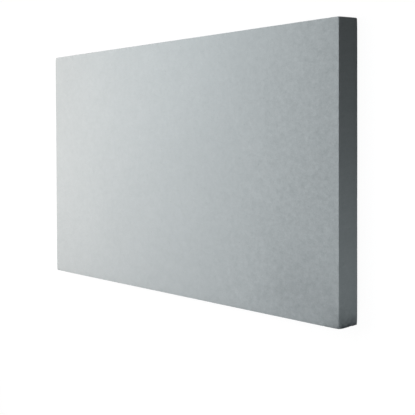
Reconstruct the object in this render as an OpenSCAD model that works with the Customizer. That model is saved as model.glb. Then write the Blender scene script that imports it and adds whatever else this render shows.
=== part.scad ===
// Calcium silicate insulation board: one plain rectangular slab of pressed,
// autoclaved and trimmed material, lying on its back with its face upwards.
// The origin is the middle of the back, +X runs along the length, +Y across
// the width and +Z out of the face.

/* [Board] */
// Length of the board, along X
length = 1000; // [300:10:2500]
// Width of the board, along Y
width = 500; // [200:10:1250]
// Thickness of the board, along Z
thickness = 40; // [20:1:100]

/* [Edges] */
// How far rubbing has cut back each arris that borders the face or the back
arris_ease = 1.5; // [0.5:0.25:5]
// How far rubbing has cut back each of the four upright corner edges
corner_ease = 2; // [0.5:0.25:10]

/* [Hidden] */

// Grey of the bare, dry material
board_colour = "#B4BBBA";

// A w by h rectangle about the origin, with its corners cut back by c at 45 degrees
module eased_rectangle(w, h, c) {
    x = w / 2;
    y = h / 2;
    polygon([
        [c - x, -y], [x - c, -y],
        [x, c - y], [x, y - c],
        [x - c, y], [c - x, y],
        [-x, y - c], [-x, c - y]
    ]);
}

// The outline seen from above, through the whole thickness
module plan_prism() {
    linear_extrude(height = thickness)
        eased_rectangle(length, width, corner_ease);
}

// The section across the width, along the whole length
module cross_section_prism() {
    translate([-length / 2, 0, thickness / 2])
        rotate([90, 0, 90])
            linear_extrude(height = length)
                eased_rectangle(width, thickness, arris_ease);
}

// The section along the length, across the whole width
module long_section_prism() {
    translate([0, width / 2, thickness / 2])
        rotate([90, 0, 0])
            linear_extrude(height = width)
                eased_rectangle(length, thickness, arris_ease);
}

// The slab: what the outline and the two sections have in common, so that
// all twelve arrises come out eased
module board() {
    color(board_colour)
        intersection() {
            plan_prism();
            cross_section_prism();
            long_section_prism();
        }
}

board();
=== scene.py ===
import itertools
import math

import bpy
import numpy as np
from mathutils import Matrix, Vector


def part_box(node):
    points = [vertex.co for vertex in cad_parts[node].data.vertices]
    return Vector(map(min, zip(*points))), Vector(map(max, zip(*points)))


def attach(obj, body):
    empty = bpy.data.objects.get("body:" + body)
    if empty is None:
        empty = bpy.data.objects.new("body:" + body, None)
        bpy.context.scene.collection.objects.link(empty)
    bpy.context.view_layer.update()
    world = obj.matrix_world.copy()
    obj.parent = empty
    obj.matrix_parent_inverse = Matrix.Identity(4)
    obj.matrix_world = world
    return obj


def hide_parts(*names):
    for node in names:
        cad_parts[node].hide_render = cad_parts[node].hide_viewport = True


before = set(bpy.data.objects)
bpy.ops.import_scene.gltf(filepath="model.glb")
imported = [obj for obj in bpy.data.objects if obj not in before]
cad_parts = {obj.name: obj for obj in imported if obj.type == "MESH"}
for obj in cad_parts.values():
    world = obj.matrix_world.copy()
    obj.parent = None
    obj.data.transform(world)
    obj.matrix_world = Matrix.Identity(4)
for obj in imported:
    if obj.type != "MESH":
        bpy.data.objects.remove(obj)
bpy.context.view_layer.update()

# ---------------------------------------------------------------------------------------------
# The board. One slab of calcium silicate: a slurry of lime, silica and wood fibre is pressed in
# a filter mould, steamed hard in an autoclave and dried. Its faces are then sanded and its four
# sides sawn to size. It is light and chalky, so the arrises rub off and the corners crush.
# ---------------------------------------------------------------------------------------------
MM = 0.001

low, high = (np.array(corner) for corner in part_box("board"))
HALF = (high - low) / 2
MIDDLE = (high + low) / 2

# From the board's middle, the upper corner between the end and the long side it is carried by
CARRIED = HALF * (1, -1, 1)

# Cells of the mesh: how long they are along an arris and at its ends, over what length they grow
# from the one to the other, in how many places along a side they are counted, and how many of
# them meet one of the large cells inside a face
ARRIS_CELL = 1.6 * MM
CORNER_CELL = 0.45 * MM
CORNER_REACH = 4 * MM
COUNTING_PLACES = 40001
CELLS_PER_PATCH = 5

# The rim of small cells on both sides of an arris: how far it reaches over a face, the gap from it
# to the large cells, its rows on a face and on half a side, and the power that crowds them
RIM = 14 * MM
RIM_STEP = 4 * MM
RIM_ROWS = 9
SIDE_ROWS = 11
CROWDING = 2.0

# How far wear has rounded the arrises, what share of it comes and goes, and over what length
ARRIS_ROUND = 0.6 * MM
ARRIS_ROUND_VARIES = 0.45
ARRIS_ROUND_LENGTH = 38 * MM

# Chips: their depth, the lengths of the coarse and fine roughness that they follow, the coarse
# one's share, the roughness they start from, how far from the arris they fade, and how far inside
# the board the box lies that they sink towards
CHIP_DEPTH = 1.1 * MM
CHIP_LENGTH = 6 * MM
CHIP_LENGTH_FINE = CHIP_LENGTH / 3
CHIP_COARSE = 0.65
CHIP_FROM = 0.42
CHIP_REACH = 1.6 * MM
CHIP_TURN = 4 * MM

# How rubbed an arris is between its chips, and by how much that follows the roughness
RUBBED = 0.6
RUBBED_VARIES = 0.4

# How far round a corner crushing reaches, how much it adds to the rounding there, and how much at
# the three corners that took a fall, by the side of the middle they lie on each way
CRUSH_REACH = 7 * MM
CRUSHED = 1.6 * MM
CRUSHED_MOST = {(1, -1, -1): 3.2 * MM, (1, -1, 1): 2.6 * MM, (-1, 1, 1): 2.4 * MM}

# A knock has split a sliver off the foot of the carried corner: how far along the length, across
# the width and up the sliver ran, and how rough and how soft-edged the split is
KNOCK = np.array([14, 4.5, 40]) * MM
KNOCK_ROUGH = 0.6 * MM
KNOCK_SOFT = 0.15 * MM

# Painted shade, which darkens the colour: round the upright arris of the carried corner, darker
# towards its foot, along the carried side and its upper arris, and faintly over a broad patch so
# far in from the end and from the side. It is broken into coarse and fine patches
PAINTED_SHADE_CORNER = 0.36
PAINTED_SHADE_CORNER_REACH = 30 * MM
PAINTED_SHADE_FOOT = 0.6
PAINTED_SHADE_FOOT_REACH = 9 * MM
PAINTED_SHADE_FOOT_RISE = 12 * MM
PAINTED_SHADE_SIDE = 0.05
PAINTED_SHADE_SIDE_REACH = 25 * MM
PAINTED_SHADE_ARRIS = 0.12
PAINTED_SHADE_ARRIS_CORNER = 0.45
PAINTED_SHADE_ARRIS_REACH = 3 * MM
PAINTED_SHADE_BROAD = 0.10
BROAD_SHADE_IN = np.array([112, 46]) * MM
BROAD_SHADE_REACH = np.array([80, 60]) * MM
PAINTED_SHADE_PATCH = 16 * MM
PAINTED_SHADE_PATCH_FINE = PAINTED_SHADE_PATCH / 4
PAINTED_SHADE_PATCHY = 0.3

# A painted mottle of light and shade, standing for the relief under raking light: how far from the
# carried end the face carries it, how much further that is towards the carried side, as a share of
# the way across, over what length it fades out, and how much less of it the sawn sides have
PAINTED_RAKING_REACH = 240 * MM
PAINTED_RAKING_LEAN = 0.35
PAINTED_RAKING_FADE = 75 * MM
PAINTED_RAKING_LESS = 0.75

# How far the faces and the sawn sides wander inside the true box
FACE_WAVE = 0.16 * MM
FACE_WAVE_LENGTH = 160 * MM
SAW_WAVE = 0.10 * MM
SAW_WAVE_LENGTH = 9 * MM

# Large odd numbers that scatter whole ones: a corner's three, the seed, and the two joined
SCATTER_PLACE = (73856093, 19349663, 83492791)
SCATTER_SEED = 2654435761
SCATTER_AGAIN = 1274126177


def mottle(points, size, seed):
    """Smooth random values from -1 to 1. Space is cut into cubes of this size, each cube corner
    gets a random value, and inside a cube the eight are blended by the curve 3f^2 - 2f^3. The
    random value comes from the corner's three whole numbers and the seed. Each is multiplied by
    a large odd number, their bits are mixed, and the last 16 bits are kept."""
    cell = points / size
    base = np.floor(cell).astype(np.int64)
    part = cell - base
    part = part * part * (3 - 2 * part)
    total = np.zeros(len(points))
    for corner in np.ndindex(2, 2, 2):
        mixed = np.bitwise_xor.reduce((base + corner) * SCATTER_PLACE, axis=1) ^ seed * SCATTER_SEED
        mixed = (mixed ^ mixed >> 13) * SCATTER_AGAIN & 0xFFFFFFFF
        mixed = (mixed ^ mixed >> 16) & 0xFFFF
        share = np.where(corner, part, 1 - part).prod(axis=1)
        total += share * (mixed / 0x7FFF - 1)
    return total


def stations(half_side):
    """Places along a side, from -1 to 1. Cells per metre are 1 / ARRIS_CELL, and rise towards
    1 / CORNER_CELL as exp(-distance from the end / CORNER_REACH). A place stands wherever the
    running total of cells is whole."""
    along = np.linspace(-half_side, half_side, COUNTING_PLACES)
    rise = np.exp((np.abs(along) - half_side) / CORNER_REACH)
    cells = 1 / ARRIS_CELL + (1 / CORNER_CELL - 1 / ARRIS_CELL) * rise
    total = np.concatenate([[0], np.cumsum((cells[1:] + cells[:-1]) / 2 * np.diff(along))])
    count = CELLS_PER_PATCH * round(total[-1] / CELLS_PER_PATCH)
    return np.interp(np.linspace(0, total[-1], count + 1), total, along) / half_side


def outline(x, y):
    """The way round a rectangle, anticlockwise from above: along -y, +x, +y and then -x."""
    one_x, one_y = np.ones(len(x) - 1), np.ones(len(y) - 1)
    along = np.concatenate([x[:-1], one_y, x[:0:-1], -one_y])
    across = np.concatenate([-one_x, y[:-1], one_x, y[:0:-1]])
    return np.stack([along, across], axis=1)


def rim(way):
    """A profile carried round the outline. The profile runs in from RIM over the face to the
    arris, down the sawn side, and in again under the back, with its rows crowded to the
    arrises as the power CROWDING. Gives rows x places x 3."""
    away = np.linspace(0, 1, RIM_ROWS + 1) ** CROWDING * RIM
    drop = np.linspace(0, 1, SIDE_ROWS + 1) ** CROWDING * HALF[2]
    inset = np.concatenate([away[::-1], 0 * drop[1:], 0 * drop[:-1], away[1:]])
    upper = np.concatenate([HALF[2] + 0 * away, HALF[2] - drop[1:]])
    lower = np.concatenate([drop[::-1][1:] - HALF[2], -HALF[2] + 0 * away[1:]])
    height = np.concatenate([upper, lower])[:, None, None]
    reach = HALF[:2] - inset[:, None]
    flat = way[None, :, :] * reach[:, None, :]
    return np.concatenate([flat, np.broadcast_to(height, (*flat.shape[:2], 1))], axis=2)


def sheet(x, y, height):
    """The inside of a face: a grid of x by y places at one height, drawn in from the rim."""
    reach = HALF[:2] - RIM - RIM_STEP
    along, across = np.meshgrid(x * reach[0], y * reach[1], indexing="ij")
    return np.stack([along, across, np.full_like(along, height)], axis=2)


def outward(box_points, margin):
    """Where each point's nearest place is on a box smaller by this margin, and the way out from
    there to the point, which turns smoothly round an arris over the margin."""
    inner = np.clip(box_points, margin - HALF, HALF - margin)
    out = box_points - inner
    return inner, out / np.linalg.norm(out, axis=1)[:, None]


def worn(box_points):
    """Wears a box down, and gives the marks that the material reads. Each point is pulled to a
    distance from a smaller box inside, which rounds the arrises. That distance wanders along each
    arris and grows at the corners, and the waves of the faces and of the saw lessen it. Chips then
    sink the points towards another smaller box, far enough inside for no two to cross, and the
    sliver is split off. A point is rubbed as exp(-distance from the arris / CHIP_REACH) and where
    it is chipped, and sawn as far as it faces sideways. Its share of the painted mottle of light and
    shade is 1 / (1 + exp(how far it lies past PAINTED_RAKING_REACH / PAINTED_RAKING_FADE)), and its
    painted shade comes from a function of its own."""
    arris_away = np.sort(HALF - np.abs(box_points), axis=1)[:, 1]
    wander = mottle(box_points, ARRIS_ROUND_LENGTH, seed=3)
    radius = ARRIS_ROUND * (1 + ARRIS_ROUND_VARIES * wander)
    for side in itertools.product((-1, 1), repeat=3):
        away = np.linalg.norm(box_points - HALF * side, axis=1)
        radius += CRUSHED_MOST.get(side, CRUSHED) * np.exp(-away / CRUSH_REACH)
    inner, out = outward(box_points, radius[:, None])
    sawn = 1 - np.abs(out[:, 2])
    wave = FACE_WAVE * (0.5 + 0.5 * mottle(box_points, FACE_WAVE_LENGTH, seed=7))
    wave += SAW_WAVE * sawn * (0.5 + 0.5 * mottle(box_points, SAW_WAVE_LENGTH, seed=8))
    rounded = inner + out * (radius - wave)[:, None]

    rough = CHIP_COARSE * mottle(box_points, CHIP_LENGTH, seed=5)
    rough += (1 - CHIP_COARSE) * mottle(box_points, CHIP_LENGTH_FINE, seed=6)
    near_arris = np.exp(-((arris_away / CHIP_REACH) ** 2))
    chip = np.clip((rough - CHIP_FROM) / (1 - CHIP_FROM), 0, 1) * near_arris
    chipped = rounded - outward(box_points, CHIP_TURN)[1] * (CHIP_DEPTH * chip)[:, None]

    rubbed = np.exp(-arris_away / CHIP_REACH) * (RUBBED + RUBBED_VARIES * rough) + chip
    # How much of the painted mottle of light and shade each point takes, most towards the carried end
    along = HALF[0] - box_points[:, 0] + PAINTED_RAKING_LEAN * box_points[:, 1]
    painted_raking_share = (1 - PAINTED_RAKING_LESS * sawn) / (1 + np.exp((along - PAINTED_RAKING_REACH) / PAINTED_RAKING_FADE))
    # Two marks carry painted light: the painted shade round the carried corner, and the share of the
    # painted mottle of light and shade near the carried end
    marks = {
        "rubbed": np.clip(rubbed, 0, 1),
        "sawn": sawn,
        "painted_shaded": painted_shade(box_points),
        "painted_raking_share": painted_raking_share,
    }
    return MIDDLE + split(chipped), marks


def split(points):
    """Takes the sliver off. Whatever stands a height h over the plane of the split sinks by
    s ln(1 + exp(h / s)), which lays it on the plane and leaves the edges of the split soft."""
    out = np.array([1, -1, -1]) / KNOCK
    out /= np.linalg.norm(out)
    height = (points - CARRIED) @ out
    rough = KNOCK_ROUGH * mottle(points, CHIP_LENGTH, seed=13)
    rough += KNOCK_ROUGH / 2 * mottle(points, CHIP_LENGTH_FINE, seed=14)
    sunk = KNOCK_SOFT * np.logaddexp(0, (height - rough) / KNOCK_SOFT)
    return points - out * sunk[:, None]


def painted_shade(box_points):
    """How dark the painted shade is at each point, from 0 to 1. It falls away exponentially from the
    upright arris of the carried corner, where it is darkest towards the foot, from the long side
    beside it, and from that side's upper arris, which is darker towards the corner. A broad patch of
    it in from the end and the side falls away as a bell curve, and all of it comes in patches."""
    x, y, z = (box_points - CARRIED).T
    away = np.hypot(x, y)
    shade_sum = PAINTED_SHADE_CORNER * np.exp(-away / PAINTED_SHADE_CORNER_REACH)
    shade_sum += PAINTED_SHADE_FOOT * np.exp(-away / PAINTED_SHADE_FOOT_REACH) * np.minimum(-z / PAINTED_SHADE_FOOT_RISE, 1)
    shade_sum += PAINTED_SHADE_SIDE * np.exp(-y / PAINTED_SHADE_SIDE_REACH)
    arris = PAINTED_SHADE_ARRIS + PAINTED_SHADE_ARRIS_CORNER * np.exp(x / PAINTED_SHADE_CORNER_REACH)
    shade_sum += arris * np.exp(-np.hypot(y, z) / PAINTED_SHADE_ARRIS_REACH)
    broad_shade = np.stack([-x, y], axis=1) - BROAD_SHADE_IN
    shade_sum += PAINTED_SHADE_BROAD * np.exp(-((broad_shade / BROAD_SHADE_REACH) ** 2).sum(axis=1))
    patchy = 1 + PAINTED_SHADE_PATCHY * mottle(box_points, PAINTED_SHADE_PATCH, seed=11)
    patchy += PAINTED_SHADE_PATCHY * mottle(box_points, PAINTED_SHADE_PATCH_FINE, seed=12)
    return np.clip(shade_sum * patchy, 0, 1)


def solid_mesh(name, points, *faces):
    """A mesh of these points, whose faces come as one array for each number of corners."""
    mesh = bpy.data.meshes.new(name)
    corners = np.concatenate([part.ravel() for part in faces])
    sizes = np.concatenate([np.full(len(part), part.shape[1]) for part in faces])
    mesh.vertices.add(len(points))
    mesh.vertices.foreach_set("co", points.astype(np.float32).ravel())
    mesh.loops.add(len(corners))
    mesh.loops.foreach_set("vertex_index", corners.astype(np.int32))
    mesh.polygons.add(len(sizes))
    mesh.polygons.foreach_set("loop_start", (np.cumsum(sizes) - sizes).astype(np.int32))
    mesh.update(calc_edges=True)
    mesh.validate()
    mesh.shade_smooth()
    return mesh


def board_mesh():
    """The rim and the two sheets inside it, sewn together by a ring of triangles on each side. Every
    cell at the edge of a sheet meets CELLS_PER_PATCH cells of the rim: those up to the middle one
    fan out from its near corner, the others from its far corner, and a wedge lies between."""
    x, y = stations(HALF[0]), stations(HALF[1])
    rows = rim(outline(x, y))
    few_x, few_y = x[::CELLS_PER_PATCH], y[::CELLS_PER_PATCH]
    face, back = sheet(few_x, few_y, HALF[2]), sheet(few_x, few_y, -HALF[2])
    points = np.concatenate([part.reshape(-1, 3) for part in (rows, face, back)])

    count, around = rows.shape[:2]
    number = np.arange(count * around).reshape(count, around)
    onward = np.roll(number, -1, axis=1)
    band = np.stack([number[:-1], number[1:], onward[1:], onward[:-1]], axis=2).reshape(-1, 4)

    patches, seams = [], []
    cell, middle = np.arange(CELLS_PER_PATCH), CELLS_PER_PATCH // 2
    places = face.size // 3
    for row, first, turn in ((0, number.size, 1), (-1, number.size + places, -1)):
        grid = first + np.arange(places).reshape(face.shape[:2])
        patch = np.stack([grid[:-1, :-1], grid[1:, :-1], grid[1:, 1:], grid[:-1, 1:]], axis=2)
        patches.append(patch.reshape(-1, 4)[:, ::turn])
        edge = np.concatenate([grid[:-1, 0], grid[-1, :-1], grid[:0:-1, -1], grid[0, :0:-1]])
        near, far = edge[:, None], np.roll(edge, -1)[:, None]
        steps = np.arange(len(edge))[:, None] * CELLS_PER_PATCH + np.arange(CELLS_PER_PATCH + 1)
        outer = number[row][steps % around]
        tips = np.where(cell <= middle, near, far)
        fans = np.stack([outer[:, :-1], outer[:, 1:], tips], axis=2).reshape(-1, 3)
        wedges = np.concatenate([outer[:, middle + 1, None], far, near], axis=1)
        seams += [fans[:, ::turn], wedges[:, ::turn]]

    points, marks = worn(points)
    mesh = solid_mesh("board_worn", points, band, *patches, *seams)
    for name, values in marks.items():
        mark = mesh.attributes.new(name, "FLOAT", "POINT")
        mark.data.foreach_set("value", values.astype(np.float32))
    return mesh


# What the eye finds on the board, by its size: clouds from uneven drying, mottling left by the
# sander, specks, grain, and a painted mottle of light and shade from a fingertip's size down to the
# grain's, standing for the relief under raking light. The real grain is under a millimetre, too
# fine to show, so it is drawn this coarse
CLOUD = 170 * MM
SANDER = 17 * MM
SPECK = 7.5 * MM
GRAIN = 2.6 * MM
PAINTED_RAKING_LIGHT = 9.5 * MM

# The sanding belt runs along the board, so what it leaves is this much longer that way
BELT = (1.4, 1, 1)

# Each finer octave of a pattern is this strong beside the one before it
FINER = 0.55

# Wood fibre lies in strands, so long and so wide, in layers at these angles in radians. The real
# ones are finer than can show, so these are drawn coarser. A strand shows from the first of these
# levels of the noise and stands clear at the second
FIBRE = (7 * MM, 1.3 * MM, 1.3 * MM)
FIBRE_ANGLES = (0.4, -0.8, 1.5)
FIBRE_FROM, FIBRE_CLEAR = 0.60, 0.72

# Pores, few wide ones and many fine ones: the net that spreads them, the share of its cells that
# hold one, and the widest radius. Half their rim is this wide
PORES = ((8 * MM, 0.45, 0.9 * MM), (3 * MM, 0.6, 0.42 * MM))
PORE_EDGE = 0.1 * MM

# The saw's streaks on the sides: their width, the share of the true height that the pattern runs
# through, which draws them out across the thickness, and the blade's radius, which bends them
STREAK = 4.5 * MM
STREAK_DRAWN = 0.06
BLADE = 150 * MM

# How much each of these, and the dust where the board is rubbed, adds to the tone, and to the
# height in steps of RELIEF. Below zero is darker or deeper
TONES = {
    "cloud": 0.014,
    "sander": 0.018,
    "speck": 0.022,
    "grain": 0.03,
    "painted_raking_light": 0.145,
    "strand": 0.03,
    "pore": -0.26,
    "streak": 0.025,
    "dust": 0.02,
}
HEIGHTS = {"grain": 0.35, "sander": 1.2, "speck": 1.0, "pore": -2.5, "strand": 0.3, "streak": 0.8}
RELIEF = 0.12 * MM

# The board's grey where the tone is TONE_REACH below and above zero, and the colour of the painted
# shade
STONE_DARK = "#8B9495"
STONE_PALE = "#D2D8D8"
TONE_REACH = 0.5
PAINTED_SHADE = "#595E61"

# How rough the surface is in the hollows of the grain and on its tops
HOLLOWS_ROUGH, TOPS_ROUGH = 0.84, 0.96


def linear(colour):
    """An sRGB hex colour as linear red, green, blue and full alpha."""
    parts = [int(colour[at : at + 2], 16) / 255 for at in (1, 3, 5)]
    return [c / 12.92 if c <= 0.04045 else ((c + 0.055) / 1.055) ** 2.4 for c in parts] + [1]


def bare_tree(owner):
    """The node tree of a new material or world, with nothing in it."""
    owner.use_nodes = True
    owner.node_tree.nodes.clear()
    return owner.node_tree


def add(tree, kind, inputs=(), **settings):
    """Adds a node with these settings. inputs gives a value, an output to link, or a node whose
    first output is linked, by input name or number."""
    made = tree.nodes.new(kind)
    for name, value in settings.items():
        setattr(made, name, value)
    for name, value in dict(inputs).items():
        if isinstance(value, bpy.types.Node):
            value = value.outputs[0]
        if isinstance(value, bpy.types.NodeSocket):
            tree.links.new(value, made.inputs[name])
        else:
            made.inputs[name].default_value = value
    return made


def sanded_calcium_silicate():
    """Autoclaved calcium silicate, sanded on the faces and sawn on the sides: a dry, matt, finely
    porous grey with no gloss. Sanding leaves it faintly mottled, with pale fibres and dark pores
    in it, and the saw leaves slanting streaks on the sides. Rubbing brings up pale dust on the
    arrises. A painted mottle of light and shade near the carried end stands for raking light over
    the relief, and painted shade darkens the colour round the carried corner and along its side."""
    material = bpy.data.materials.new("sanded_calcium_silicate")
    tree = bare_tree(material)
    place = add(tree, "ShaderNodeTexCoord").outputs["Object"]
    # The third of these attributes is the painted shade, and the fourth places the painted mottle of
    # light and shade
    rubbed, sawn, painted_shaded, painted_raking_share = (
        add(tree, "ShaderNodeAttribute", attribute_name=name).outputs["Fac"]
        for name in ("rubbed", "sawn", "painted_shaded", "painted_raking_share")
    )
    belt = add(tree, "ShaderNodeMapping", {"Vector": place, "Scale": BELT}, vector_type="TEXTURE")

    def blotches(size, detail, where=belt, finer=FINER, spread=0.2):
        """Blotches of about this size, from -1 to 1: noise, stretched from a spread about 0.5."""
        settings = {"Vector": where, "Scale": 1 / size, "Detail": detail, "Roughness": finer}
        noise = add(tree, "ShaderNodeTexNoise", settings)
        stretch = {"Value": noise, "From Min": 0.5 - spread, "From Max": 0.5 + spread, "To Min": -1}
        return add(tree, "ShaderNodeMapRange", stretch)

    def pits(cell, share, radius):
        """Round pits from 0 outside to 1 inside: one in this share of the cells of a net. A pit
        reaches up to this radius from the cell's middle, and its depth is that reach less the
        distance from the middle, cut off PORE_EDGE on either side of the rim."""
        edge = PORE_EDGE / cell
        net = add(tree, "ShaderNodeTexVoronoi", {"Vector": place, "Scale": 1 / cell})
        chance = add(tree, "ShaderNodeSeparateColor", {"Color": net.outputs["Color"]})
        chosen = {"Value": chance, "From Min": 1 - share, "To Min": -edge, "To Max": radius / cell}
        reach = add(tree, "ShaderNodeMapRange", chosen)
        depth = add(tree, "ShaderNodeMath", {0: reach, 1: net}, operation="SUBTRACT")
        return add(tree, "ShaderNodeMapRange", {"Value": depth, "From Min": -edge, "From Max": edge})

    def strands(layer, angle):
        """Short strands that lie about this angle: noise drawn out to a fibre's size. Each layer is
        taken a metre further along, where the noise is another."""
        laid = {"Vector": place, "Location": (layer, 0, 0), "Rotation": (0, 0, angle), "Scale": FIBRE}
        along = add(tree, "ShaderNodeMapping", laid, vector_type="TEXTURE")
        settings = {"Vector": along, "Scale": 1, "Detail": 1, "Roughness": FINER}
        noise = add(tree, "ShaderNodeTexNoise", settings)
        shown = {"Value": noise, "From Min": FIBRE_FROM, "From Max": FIBRE_CLEAR}
        return add(tree, "ShaderNodeMapRange", shown)

    def streaks():
        """The saw's streaks: blotches drawn out across the thickness. At a height z they are bent
        along the side by z^2 / (2 BLADE), as the rim of the blade is."""
        x, y, z = add(tree, "ShaderNodeSeparateXYZ", {"Vector": place}).outputs
        side = add(tree, "ShaderNodeMath", {0: x, 1: y}, operation="ADD")
        square = add(tree, "ShaderNodeMath", {0: z, 1: z}, operation="MULTIPLY")
        bend = {0: square, 1: 1 / (2 * BLADE), 2: side}
        bent = add(tree, "ShaderNodeMath", bend, operation="MULTIPLY_ADD")
        drawn = add(tree, "ShaderNodeMath", {0: z, 1: STREAK_DRAWN}, operation="MULTIPLY")
        cut = add(tree, "ShaderNodeCombineXYZ", {"X": bent, "Z": drawn})
        return blotches(STREAK, detail=2, where=cut)

    def most(layers):
        """The largest of these layers at each point."""
        largest = 0.0
        for layer in layers:
            largest = add(tree, "ShaderNodeMath", {0: largest, 1: layer}, operation="MAXIMUM")
        return largest

    # Painted light and shade: a mottle standing for the relief under raking light, only near the
    # carried end
    painted_raking_light = blotches(PAINTED_RAKING_LIGHT, detail=3, finer=1.0)
    layers = {
        "cloud": blotches(CLOUD, detail=2, where=place),
        "sander": blotches(SANDER, detail=2),
        "speck": blotches(SPECK, detail=2),
        "grain": blotches(GRAIN, detail=3, spread=0.25),
        "painted_raking_light": add(tree, "ShaderNodeMath", {0: painted_raking_light, 1: painted_raking_share}, operation="MULTIPLY"),
        "strand": most(strands(layer, angle) for layer, angle in enumerate(FIBRE_ANGLES)),
        "pore": most(pits(*kind) for kind in PORES),
        "streak": add(tree, "ShaderNodeMath", {0: streaks(), 1: sawn}, operation="MULTIPLY"),
        "dust": rubbed,
    }

    def total(weights):
        """The sum of the layers that are named here, each times its weight."""
        summed = 0.0
        for name, weight in weights.items():
            step = {0: layers[name], 1: weight, 2: summed}
            summed = add(tree, "ShaderNodeMath", step, operation="MULTIPLY_ADD")
        return summed

    # A colour Mix node shares its input names with its other types, so they go by number
    shade = {"Value": total(TONES), "From Min": -TONE_REACH, "From Max": TONE_REACH}
    greys = {0: add(tree, "ShaderNodeMapRange", shade), 6: linear(STONE_DARK), 7: linear(STONE_PALE)}
    grey = add(tree, "ShaderNodeMix", greys, data_type="RGBA").outputs[2]
    # Painted shade: the grey is darkened towards that colour by the painted shade amount
    shade_mix = {0: painted_shaded, 6: grey, 7: linear(PAINTED_SHADE)}
    shaded_grey = add(tree, "ShaderNodeMix", shade_mix, data_type="RGBA").outputs[2]

    texture = {"Value": layers["grain"], "From Min": -1, "To Min": HOLLOWS_ROUGH, "To Max": TOPS_ROUGH}
    relief = {"Height": total(HEIGHTS), "Strength": 1, "Distance": RELIEF}
    finish = {
        "Base Color": shaded_grey,
        "Roughness": add(tree, "ShaderNodeMapRange", texture),
        "Diffuse Roughness": 0.7,
        "IOR": 1.5,
        "Specular IOR Level": 0.35,
        "Normal": add(tree, "ShaderNodeBump", relief),
    }
    surface = add(tree, "ShaderNodeBsdfPrincipled", finish)
    add(tree, "ShaderNodeOutputMaterial", {"Surface": surface})
    return material


mesh = board_mesh()
mesh.materials.append(sanded_calcium_silicate())
board = bpy.data.objects.new("board_sanded", mesh)
bpy.context.scene.collection.objects.link(board)
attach(board, "root")
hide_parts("board")

# ---------------------------------------------------------------------------------------------
# The floor. A plain sheet of white paper, wide enough to fill every view. The camera sees it
# bright, and it throws little light back at the board.
# ---------------------------------------------------------------------------------------------
# Half the sheet's side in metres, how far it lies under the board's box so that the two never
# share a surface, and how bright it and the sky look
FLOOR_HALF = 30.0
FLOOR_DROP = 0.2 * MM
WHITE = 0.95

floor_mesh = bpy.data.meshes.new("floor")
ways = ((-1, -1), (1, -1), (1, 1), (-1, 1))
floor_corners = [(x * FLOOR_HALF, y * FLOOR_HALF, -FLOOR_DROP) for x, y in ways]
floor_mesh.from_pydata(floor_corners, [], [(0, 1, 2, 3)])
paper = bpy.data.materials.new("white_paper")
tree = bare_tree(paper)
seen = add(tree, "ShaderNodeLightPath").outputs["Is Camera Ray"]
bright = add(tree, "ShaderNodeEmission", {"Color": linear("#FFFFFF"), "Strength": WHITE})
shaded = add(tree, "ShaderNodeBsdfDiffuse", {"Color": linear("#4B4B4B")})
thrown = add(tree, "ShaderNodeBsdfDiffuse", {"Color": linear("#616161")})
lit = add(tree, "ShaderNodeAddShader", {0: bright, 1: shaded})
both = add(tree, "ShaderNodeMixShader", {0: seen, 1: thrown, 2: lit})
add(tree, "ShaderNodeOutputMaterial", {"Surface": both})
floor_mesh.materials.append(paper)
floor = bpy.data.objects.new("floor", floor_mesh)
bpy.context.scene.collection.objects.link(floor)

# ---------------------------------------------------------------------------------------------
# The light. A broad warm key beyond the far end and cooler fills over the top, to one side and low
# at the near end, so that the face grows darker along the board. Three low strips light the
# other sides, and a sky that the camera sees white gives only a dim even light.
# ---------------------------------------------------------------------------------------------
# How strong the sky's own light is
SKY = 0.014


def lamp(name, at, facing, size, watts, tint):
    """A soft lamp of this width and height in metres, turned to face a point."""
    light = bpy.data.lights.new(name, "AREA")
    light.shape = "RECTANGLE"
    light.size, light.size_y = size
    light.energy = watts
    light.color = linear(tint)[:3]
    made = bpy.data.objects.new(name, light)
    made.location = at
    made.rotation_mode = "QUATERNION"
    made.rotation_quaternion = (Vector(facing) - Vector(at)).to_track_quat("-Z", "Y")
    made.visible_camera = False
    bpy.context.scene.collection.objects.link(made)


# Over the face
lamp("key", (-0.67, 0.04, 0.81), facing=(0, 0, 0), size=(1.0, 1.0), watts=13.2, tint="#FFF3EE")
lamp("top_fill", (0.16, 0.32, 0.70), facing=(0.2, 0, 0), size=(1.0, 1.0), watts=5.54, tint="#F8FBFF")
lamp("cool_fill", (0.15, -1.60, 1.20), facing=(0, 0, 0), size=(0.8, 0.8), watts=12.2, tint="#E7F3FF")

# At the near end, close to the carried corner
low_end = (0.45, -0.20, 0.02)
lamp("near_fill", (0.90, -0.30, 0.05), facing=low_end, size=(0.3, 0.3), watts=0.81, tint="#F6FBFF")

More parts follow.
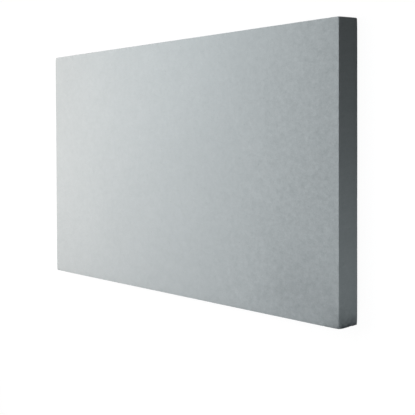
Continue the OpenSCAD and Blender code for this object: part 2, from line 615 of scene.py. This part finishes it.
# Low strips along the other three sides
foot = (0, 0, 0.02)
lamp("side_fill", (0.0, -1.30, 0.06), facing=foot, size=(1.4, 0.08), watts=2.0, tint="#FFFDFA")
lamp("rear_fill", (0.0, 1.30, 0.06), facing=foot, size=(1.4, 0.08), watts=3.0, tint="#F6FCFF")
lamp("far_fill", (-1.50, 0.0, 0.06), facing=foot, size=(0.7, 0.08), watts=2.0, tint="#F6FCFF")

world = bpy.data.worlds.new("studio")
bpy.context.scene.world = world
tree = bare_tree(world)
seen = add(tree, "ShaderNodeLightPath").outputs["Is Camera Ray"]
pale = add(tree, "ShaderNodeBackground", {"Color": linear("#FFFFFF"), "Strength": WHITE})
dim = add(tree, "ShaderNodeBackground", {"Color": linear("#FFFEFC"), "Strength": SKY})
both = add(tree, "ShaderNodeMixShader", {0: seen, 1: dim, 2: pale})
add(tree, "ShaderNodeOutputWorld", {"Surface": both})

# ---------------------------------------------------------------------------------------------
# The camera. It stands beyond the near end and looks down along the board. It is turned on its
# side, so that the board's width runs up the frame.
# ---------------------------------------------------------------------------------------------
# The point it aims at, the way it looks from, how far off it stands, its lens and sensor, and how
# far above the middle of the frame it sets that point, as a share of the frame
AIM = Vector((0.1301, -0.0049, high[2]))
AZIMUTH = math.radians(1.91)
ELEVATION = math.radians(34.44)
ROLL = math.radians(-0.21)
DISTANCE = 2.026
LENS_MM = 93.65
SENSOR_MM = 36
RISE = 0.0862

lens = bpy.data.cameras.new("camera")
lens.lens = LENS_MM
lens.sensor_width = SENSOR_MM
lens.shift_y = -RISE
camera = bpy.data.objects.new("camera", lens)
level = math.cos(ELEVATION)
back = Vector((level * math.cos(AZIMUTH), level * math.sin(AZIMUTH), math.sin(ELEVATION)))
up = (Vector((0, 1, 0)) - back * back.y).normalized()
turn = Matrix((up.cross(back), up, back)).transposed() @ Matrix.Rotation(ROLL, 3, "Z")
camera.matrix_world = Matrix.Translation(AIM + back * DISTANCE) @ turn.to_4x4()
bpy.context.scene.collection.objects.link(camera)
bpy.context.scene.camera = camera
bpy.context.scene.view_settings.view_transform = "Standard"
